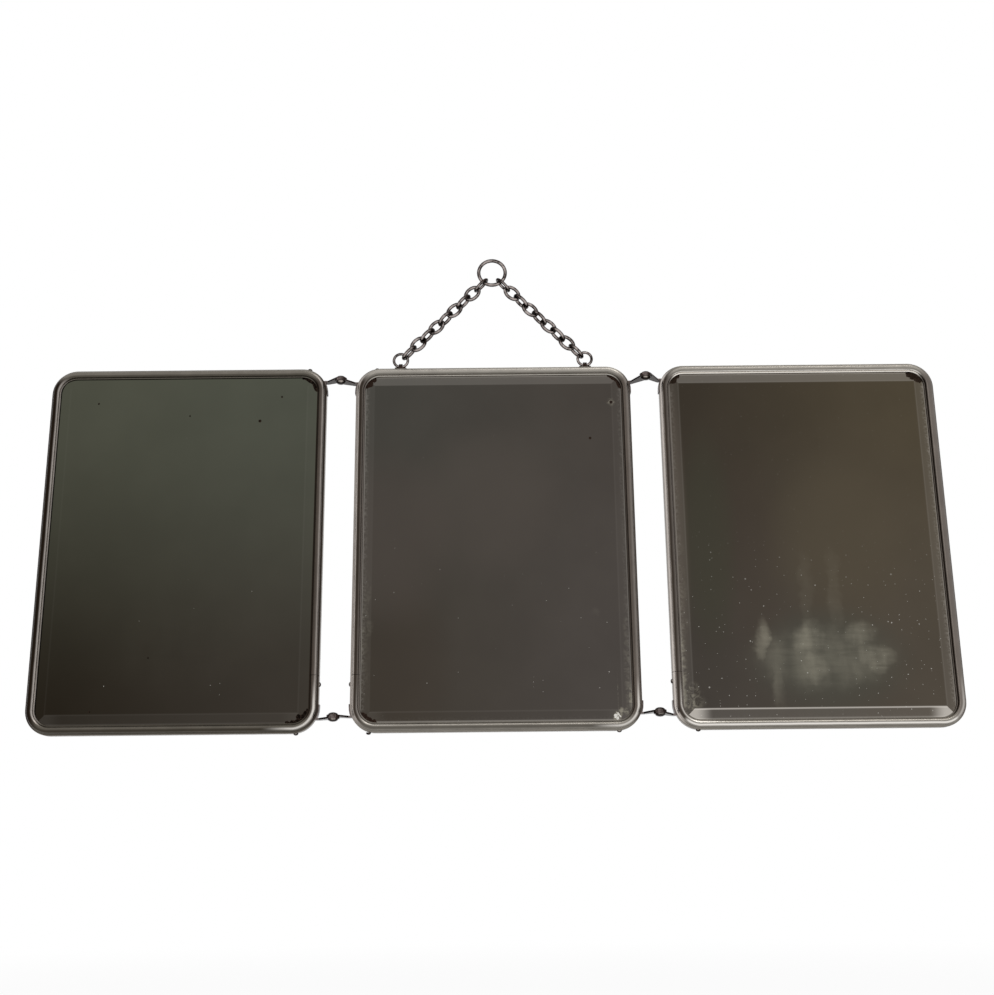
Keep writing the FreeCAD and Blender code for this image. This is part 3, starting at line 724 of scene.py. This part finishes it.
def smoky_bloom(graph, at, smudges):
    """How thick the smoke on the glass is: soft patches, broken by wipes and streaks."""
    warp_x = at.x + (graph.noise(at.where, 14.0, detail=3.0) - 0.5) * 16.0
    warp_z = at.z + (graph.noise(at.where, 11.0, detail=3.0) - 0.5) * 12.0
    patches = []
    for place, half_sizes, strength in smudges:
        x, z = warp_x, warp_z
        if half_sizes[0] < LINE_SMUDGE:
            x, z = at.x, at.z
        elif half_sizes[0] < SMALL_SMUDGE:
            x, z = at.ragged_x, at.ragged_z
        patch = graph.spot(x, z, place, half_sizes, 1.0)
        patches.append(patch * patch * strength)
    streak = graph.noise(graph.vector(at.x, at.y, at.z * 0.3), 16.0, detail=3.0, roughness=0.5)
    broken = (at.wipe * 0.35 + streak * 0.95 - 0.28).between(0.0, 0.75)
    curls = graph.noise(at.where, 4.5, detail=4.0, distortion=1.5).between(0.38, 0.62)
    near_side = at.from_side.below(17.0, 2.0)
    return strongest(patches) * broken * (near_side * (curls - 1.0) + 1.0)


def silver_gone(graph, at, spots):
    """1 where the silver has gone, and 0 where it is left."""
    gone = []
    for place, radius in spots:
        small = radius < SMALL_SPOT
        x = at.x if small else at.ragged_x
        z = at.z if small else at.ragged_z
        gone.append(graph.spot(x, z, place, (radius, radius), 0.5))
    return strongest(gone)


def dust_specks(graph, at, amount):
    """1 on a speck of dust; most of them lie on the lower half of the glass."""
    flat = graph.vector(at.x, at.z, 0.0)
    layers = [
        graph.specks(flat, spacing, radius, share * amount, "2D")
        for spacing, radius, share in DUST_LAYERS
    ]
    lower_half = at.z.below(-30.0, 50.0) * 0.94 + 0.06
    return strongest(layers) * lower_half * (graph.noise(at.where, 7.0).between(0.3, 0.65) * 0.7 + 0.3)


def old_mirror(leaf):
    """Bevelled mirror glass, darkened with age and with painted reflections: bare spots in its corners,
    dust, and a smoky bloom.
    """
    look = AGEING_AND_REFLECTIONS[leaf]
    made = bpy.data.materials.new(f"{leaf}_silvering_and_painted_reflections")
    graph = Graph(made)
    at = places_on_glass(graph, leaf)
    silver = painted_edge_reflections(graph, at, look, darkened_silver_and_reflection(graph, at, look))

    smoke = smoky_bloom(graph, at, look["smudges"])
    bloom = graph.mix(smoke.between(1.2, 2.2), colour(*THIN_BLOOM), colour(*THICK_BLOOM))
    silver = graph.mix((smoke * 0.4).least(0.92), silver, bloom)

    _, leaf_half = middle_and_half(f"{leaf}_frame")
    spots = list(look["bare"])
    for corner in look["crescents"]:
        spots += crescent(leaf_half, *corner)
    bare = silver_gone(graph, at, spots)
    decay = graph.mix(at.grain.between(0.46, 0.68), colour(*look["decay"]), colour(*BARE_GRAIN))
    silver = graph.mix(bare.between(0.0, 0.35), silver, colour(*BARE_RIM))
    silver = graph.mix(bare.between(0.35, 0.8), silver, decay)

    dust = dust_specks(graph, at, look["dust"])
    graph.principled(
        Base_Color=graph.mix(dust * 0.8, silver, colour(*DUST)),
        Metallic=(dust * -0.8 + 1.0 - smoke * 0.2).most(0.0),
        Roughness=smoke.least(1.0) * 0.25 + bare * 0.2 + dust * 0.6 + 0.035,
        Normal=graph.bump(at.cloud * 0.6 + at.wipe * 0.05, 0.05, 0.25),
    )
    return made


# ---- meshes ------------------------------------------------------------------------------------------


def new_piece(name, vertices, faces, material, body, replaced=()):
    """A smooth-shaded mesh that rides on a body and the nodes that it stands for."""
    mesh = bpy.data.meshes.new(name)
    mesh.from_pydata([tuple(Vector(v) * MM) for v in vertices], [], faces)
    mesh.validate()
    mesh.update()
    piece = bpy.data.objects.new(name, mesh)
    bpy.context.scene.collection.objects.link(piece)
    mesh.materials.append(material)
    mesh.shade_smooth()
    mesh.set_sharp_from_angle(angle=math.radians(SHARP_ANGLE))
    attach(piece, body)
    if replaced:
        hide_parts(*replaced)


def rounded_rectangle(width, height, radius):
    """Stations round a rounded rectangle from its right side's middle: each a point and the way in."""
    stations = []
    corners = [(1, 1), (-1, 1), (-1, -1), (1, -1)]
    for quarter, (side, end) in enumerate(corners):
        middle = Vector(((width / 2 - radius) * side, (height / 2 - radius) * end))
        for step in range(CORNER_STEPS + 1):
            angle = math.radians(90 * (quarter + step / CORNER_STEPS))
            out = Vector((math.cos(angle), math.sin(angle)))
            stations.append((middle + out * radius, -out))
    return stations


def strip_section(depth):
    """The rolled strip's closed outline, each point (in from the side wall, back from the front plane)."""
    middle = SHOULDER_WIDTH + BEAD_RADIUS
    hollow = BEAD_RADIUS - SHEET
    section = [
        (0, depth - REAR_ROUND),
        (0, SHOULDER_DEPTH + SHOULDER_BEVEL),
        (SHOULDER_BEVEL * ROUND_SHARE, SHOULDER_DEPTH + SHOULDER_BEVEL * ROUND_SHARE),
        (SHOULDER_BEVEL, SHOULDER_DEPTH),
        (SHOULDER_WIDTH - GROOVE_ROUND, SHOULDER_DEPTH),
        (SHOULDER_WIDTH - GROOVE_ROUND_MIDDLE, SHOULDER_DEPTH - GROOVE_ROUND_MIDDLE),
        (SHOULDER_WIDTH, SHOULDER_DEPTH - GROOVE_ROUND),
    ]
    for step in range(BEAD_STEPS + 1):
        angle = math.pi * step / BEAD_STEPS
        section.append((middle - BEAD_RADIUS * math.cos(angle), BEAD_RADIUS * (1 - math.sin(angle))))
    section += [
        (LIP_EDGE - LIP_CHAMFER, BEAD_RADIUS),
        (LIP_EDGE, BEAD_RADIUS + LIP_CHAMFER),
        (LIP_EDGE, BEAD_RADIUS + SHEET),
        (middle + hollow, BEAD_RADIUS + SHEET),
        (middle + hollow * 0.5, SHEET * 1.5),
        (middle - hollow * 0.5, SHEET * 1.5),
        (middle - hollow, SHOULDER_DEPTH + SHEET),
        (SHEET, SHOULDER_DEPTH + SHEET),
        (SHEET, depth - SHEET),
        (REAR_LIP, depth - SHEET),
        (REAR_LIP, depth),
        (REAR_ROUND, depth),
        (REAR_ROUND * ROUND_SHARE, depth - REAR_ROUND * ROUND_SHARE),
    ]
    return section


def rolled_frame(leaf, material):
    """The leaf's strip swept round the glass, with a fine open seam low on one side."""
    node = f"{leaf}_frame"
    middle, half = middle_and_half(node)
    front = middle.y - half.y
    seam_side = 1 if leaf == "left" else -1
    stations = rounded_rectangle(half.x * 2, half.z * 2, CORNER_RADIUS)
    seam = SEAM_HEIGHT - half.z
    above, below = [
        (Vector((half.x * seam_side, seam + SEAM_GAP / 2 * way)), Vector((-seam_side, 0)))
        for way in (1, -1)
    ]
    if seam_side > 0:
        stations = [above] + stations + [below]
    else:
        opposite = len(stations) // 2
        stations = [below] + stations[opposite:] + stations[:opposite] + [above]
    section = strip_section(half.y * 2)
    vertices = []
    for point, inward in stations:
        for across, back in section:
            place = point + inward * across
            vertices.append((middle.x + place.x, front + back, middle.z + place.y))
    count = len(section)
    faces = []
    for station in range(len(stations) - 1):
        for corner in range(count):
            a = station * count + corner
            b = station * count + (corner + 1) % count
            faces.append((a, b, b + count, a + count))
    last = (len(stations) - 1) * count
    faces.append(tuple(reversed(range(count))))
    faces.append(tuple(last + corner for corner in range(count)))
    new_piece(f"{leaf}_rolled_frame", vertices, faces, material, body_of(leaf), [node])


def tube(points, radius, sides):
    """A closed tube round a closed flat loop of points in the XZ plane."""
    count = len(points)
    vertices = []
    for number, point in enumerate(points):
        along = (points[(number + 1) % count] - points[number - 1]).normalized()
        outward = Vector((along.z, 0, -along.x))
        for side in range(sides):
            angle = 2 * math.pi * side / sides
            offset = outward * math.cos(angle) + Vector((0, math.sin(angle), 0))
            vertices.append(point + offset * radius)
    faces = []
    for number in range(count):
        for side in range(sides):
            a = number * sides + side
            b = number * sides + (side + 1) % sides
            c = ((number + 1) % count) * sides + (side + 1) % sides
            d = ((number + 1) % count) * sides + side
            faces.append((a, b, c, d))
    return vertices, faces


def loop(half_length, half_width, steps):
    """Points round an oval in the XZ plane, with its length along X."""
    return [
        Vector((half_length * math.cos(angle), 0, half_width * math.sin(angle)))
        for angle in (2 * math.pi * step / steps for step in range(steps))
    ]


def wire_ring(node, wire, body, material):
    """A round ring of round wire, in place of the one with flats."""
    middle, half = middle_and_half(node)
    radius = half.x - wire / 2
    vertices, faces = tube(loop(radius, radius, RING_BENDS), wire / 2, RING_SIDES)
    vertices = [middle + v for v in vertices]
    new_piece(f"{node}_wire", vertices, faces, material, body, [node])


def chain(side_name, material, draw):
    """Nine links in line, alternately edge-on and face-on, each a little off true."""
    nodes = [f"{side_name}_chain_link_{number}" for number in range(1, LINKS_PER_CHAIN + 1)]
    middles = [middle_and_half(node)[0] for node in nodes]
    along_chain = Vector((1, 0, 0)).rotation_difference((middles[-1] - middles[0]).normalized())
    for number, (node, middle) in enumerate(zip(nodes, middles), start=1):
        edge_on = 90.0 if number % 2 else 0.0
        from_end = min(number - 1, LINKS_PER_CHAIN + 1 - number)
        twist = CHAIN_TWIST[side_name] * min(1.0, from_end / TWIST_STEPS)
        loose = draw.uniform(-LOOSE_TURN, LOOSE_TURN)
        roll = Matrix.Rotation(math.radians(edge_on + twist + loose), 3, "X")
        turn = along_chain.to_matrix() @ roll
        wire = FIRST_LINK_WIRE if number == 1 else LINK_WIRE
        outline = loop(LINK_LENGTH / 2, (LINK_WIDTH - wire) / 2, LINK_BENDS)
        vertices, faces = tube(outline, wire / 2, LINK_SIDES)
        vertices = [middle + turn @ v for v in vertices]
        new_piece(f"{node}_wire", vertices, faces, material, "chain_sling", [node])


def lathe(outline, centre, axis, steps):
    """Turns an outline, points (radius, along), about an axis through centre."""
    axis = Vector(axis).normalized()
    across = axis.orthogonal().normalized()
    other = axis.cross(across)
    vertices = []
    for step in range(steps):
        angle = 2 * math.pi * step / steps
        out = across * math.cos(angle) + other * math.sin(angle)
        for radius, along in outline:
            vertices.append(centre + out * radius + axis * along)
    count = len(outline)
    faces = []
    for step in range(steps):
        following = (step + 1) % steps
        for number in range(count - 1):
            a, b = step * count + number, following * count + number
            faces.append((a, b, b + 1, a + 1))
    faces.append(tuple(step * count for step in reversed(range(steps))))
    faces.append(tuple(step * count + count - 1 for step in range(steps)))
    return vertices, faces


def dome(radius, height, base, way, steps):
    """Points up a domed head, from its rim at base to a small flat at its top."""
    points = []
    for step in range(steps + 1):
        angle = math.radians(DOME_TOP * step / steps)
        points.append((radius * math.cos(angle), base + way * height * math.sin(angle)))
    return points


def hinge_rivet(node, material):
    """A rivet with a domed head at each end, in place of the plain one."""
    middle, half = middle_and_half(node)
    head_radius = half.x * DOMED_HEAD_SPREAD
    seat = half.z - PLAIN_HEAD_HEIGHT
    lower_head = dome(head_radius, DOMED_HEAD_HEIGHT, -seat, -1, DOMED_HEAD_STEPS)
    upper_head = dome(head_radius, DOMED_HEAD_HEIGHT, seat, 1, DOMED_HEAD_STEPS)
    outline = lower_head[::-1] + [(SHANK_RADIUS, -seat), (SHANK_RADIUS, seat)] + upper_head
    vertices, faces = lathe(outline, middle, (0, 0, 1), HINGE_RIVET_SIDES)
    new_piece(f"{node}_domed", vertices, faces, material, "centre_leaf", [node])


def edge_rivet(name, place, outward, body, material):
    """A small rivet head that stands on a frame's side wall."""
    foot = (EDGE_RIVET_RADIUS, -EDGE_RIVET_SUNK)
    outline = [foot] + dome(EDGE_RIVET_RADIUS, EDGE_RIVET_RISE, 0.0, 1, EDGE_RIVET_STEPS)
    vertices, faces = lathe(outline, Vector(place), outward, EDGE_RIVET_SIDES)
    new_piece(name, vertices, faces, material, body)


def edge_rivets(material):
    """Rivet heads on the frames' edges near the hinges, in the middle of the side walls' depth."""
    for leaf in LEAVES:
        middle, half = middle_and_half(f"{leaf}_frame")
        for name, end, side, inset in END_RIVETS[leaf]:
            place = (middle.x + (half.x - inset) * side, 0.0, middle.z + half.z * end)
            edge_rivet(f"{leaf}_edge_rivet_{name}", place, (0, 0, end), body_of(leaf), material)
        side = SIDE_RIVETS[leaf]
        place = (middle.x + half.x * side, 0.0, middle.z - half.z + SIDE_RIVET_HEIGHT)
        edge_rivet(f"{leaf}_edge_rivet_side", place, (side, 0, 0), body_of(leaf), material)


# ---- stage -------------------------------------------------------------------------------------------


def seen_directly(graph):
    """1 for what the camera sees, straight or by way of metal and glass, and 0 for light on the object."""
    path = graph.node("ShaderNodeLightPath")
    seen = Field(graph, path.outputs["Is Camera Ray"]) + Field(graph, path.outputs["Is Glossy Ray"])
    return (seen + Field(graph, path.outputs["Is Transmission Ray"])).least(1.0)


def build_world():
    """White for what the camera and shiny surfaces see, and a plain level of light for the rest."""
    light_level = 0.6
    world = bpy.data.worlds.new("studio")
    bpy.context.scene.world = world
    graph = Graph(world)
    background = graph.node("ShaderNodeBackground")
    background.inputs["Color"].default_value = (1.0, 1.0, 1.0, 1.0)
    strength = seen_directly(graph) * (1.0 - light_level) + light_level
    graph.feed(background.inputs["Strength"], strength)
    output = graph.node("ShaderNodeOutputWorld")
    graph.feed(output.inputs["Surface"], background.outputs[0])


def build_floor():
    """A plain pale floor, well below the hanging mirror, that runs out into the white of the world."""
    half = 8000.0
    floor_z = -520.0
    corners = [
        (-half, -half, floor_z),
        (half, -half, floor_z),
        (half, half, floor_z),
        (-half, half, floor_z),
    ]
    mesh = bpy.data.meshes.new("floor")
    mesh.from_pydata([tuple(Vector(c) * MM) for c in corners], [], [(0, 1, 2, 3)])
    floor = bpy.data.objects.new("floor", mesh)
    bpy.context.scene.collection.objects.link(floor)
    made = bpy.data.materials.new("pale_floor")
    graph = Graph(made)
    x, y, _ = graph.place()
    near_glow = 0.9
    far = graph.math("SQRT", x * x + y * y).between(500.0, 1800.0)
    matt = graph.node("ShaderNodeBsdfDiffuse")
    matt.inputs["Color"].default_value = (0.85, 0.85, 0.85, 1.0)
    glow = graph.node("ShaderNodeEmission")
    glow.inputs["Color"].default_value = (1.0, 1.0, 1.0, 1.0)
    both = graph.node("ShaderNodeMixShader")
    graph.feed(both.inputs[0], seen_directly(graph) * (far * (1.0 - near_glow) + near_glow))
    graph.feed(both.inputs[1], matt.outputs[0])
    graph.feed(both.inputs[2], glow.outputs[0])
    output = graph.node("ShaderNodeOutputMaterial")
    graph.feed(output.inputs["Surface"], both.outputs[0])
    mesh.materials.append(made)


def area_light(name, place, target, size, power):
    """A rectangular light that faces target, with its place and sizes in metres."""
    light = bpy.data.lights.new(name, "AREA")
    light.shape = "RECTANGLE"
    light.size, light.size_y = size
    light.energy = power
    lamp = bpy.data.objects.new(name, light)
    bpy.context.scene.collection.objects.link(lamp)
    lamp.location = Vector(place)
    lamp.rotation_euler = (Vector(target) - Vector(place)).to_track_quat("-Z", "Y").to_euler()


def build_lights():
    """Three soft lights on the mirror's middle; places and sizes are in metres."""
    middle = (0.0, 0.0, -0.2)
    area_light("key_softbox", (1.0, -1.1, 2.8), middle, (2.4, 1.6), 19.0)
    area_light("glint_box", (0.7, -1.3, 1.75), middle, (0.7, 0.35), 3.2)
    area_light("fill_softbox", (-2.3, -1.4, 1.0), middle, (1.6, 2.0), 9.0)


def build_camera():
    """The photograph's view: from in front of the middle and below, looking up."""
    data = bpy.data.cameras.new("camera")
    data.lens = 48.47
    data.sensor_width = 36.0
    camera = bpy.data.objects.new("camera", data)
    bpy.context.scene.collection.objects.link(camera)
    camera.location = Vector((-0.24, -856.92, -417.66)) * MM
    camera.rotation_euler = [math.radians(angle) for angle in (106.035, 0.564, 0.017)]
    bpy.context.scene.camera = camera


# ---- the mirror --------------------------------------------------------------------------------------


def dress(frame):
    """Every piece of the mirror and the material of every CAD node that stays."""
    nodes = frame["nodes"]
    rust = colour(50, 36, 29)
    chain_metal = steel_painted_sheen_and_tarnish("wire_painted_sheen_and_tarnish", colour(172, 162, 158), colour(36, 29, 26), rust)
    hinge_metal = steel_painted_sheen_and_tarnish("strip_painted_sheen_and_tarnish", colour(116, 106, 103), colour(42, 34, 31), rust)
    rivet_metal = steel_painted_sheen_and_tarnish("rivet_painted_sheen_and_tarnish", colour(168, 160, 152), colour(34, 27, 24), rust)
    lug_metal = steel_painted_sheen_and_tarnish("lug_painted_sheen_and_tarnish", colour(62, 50, 44), colour(26, 19, 16), rust)
    card = strawboard("strawboard")
    back = japanned_sheet("japanned_sheet")
    for leaf in LEAVES:
        rolled_frame(leaf, nickel_wear_and_painted_sheen(leaf))
        nodes[f"{leaf}_mirror_glass"].data.materials[0] = old_mirror(leaf)
        nodes[f"{leaf}_backing_card"].data.materials[0] = card
        nodes[f"{leaf}_back_plate"].data.materials[0] = back
    for side_name in SIDES:
        nodes[f"{side_name}_lug"].data.materials[0] = lug_metal
        for end_name in ENDS:
            hinge = f"{side_name}_{end_name}_hinge"
            nodes[f"{hinge}_centre_arm"].data.materials[0] = hinge_metal
            nodes[f"{hinge}_wing_arm"].data.materials[0] = hinge_metal
            hinge_rivet(f"{hinge}_rivet", rivet_metal)
    edge_rivets(rivet_metal)
    wire_ring("hanging_ring", RING_WIRE, "hanger_ring", chain_metal)
    draw = random.Random(7)
    for side_name in SIDES:
        chain(side_name, chain_metal, draw)
        wire_ring(f"{side_name}_eye_ring", EYE_RING_WIRE, "chain_sling", chain_metal)


def main():
    """Loads the frame, dresses it, and builds the stage."""
    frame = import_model()
    dress(frame)
    build_world()
    build_floor()
    build_lights()
    build_camera()
    bpy.context.scene.view_settings.view_transform = "Standard"
    bpy.context.view_layer.update()


main()
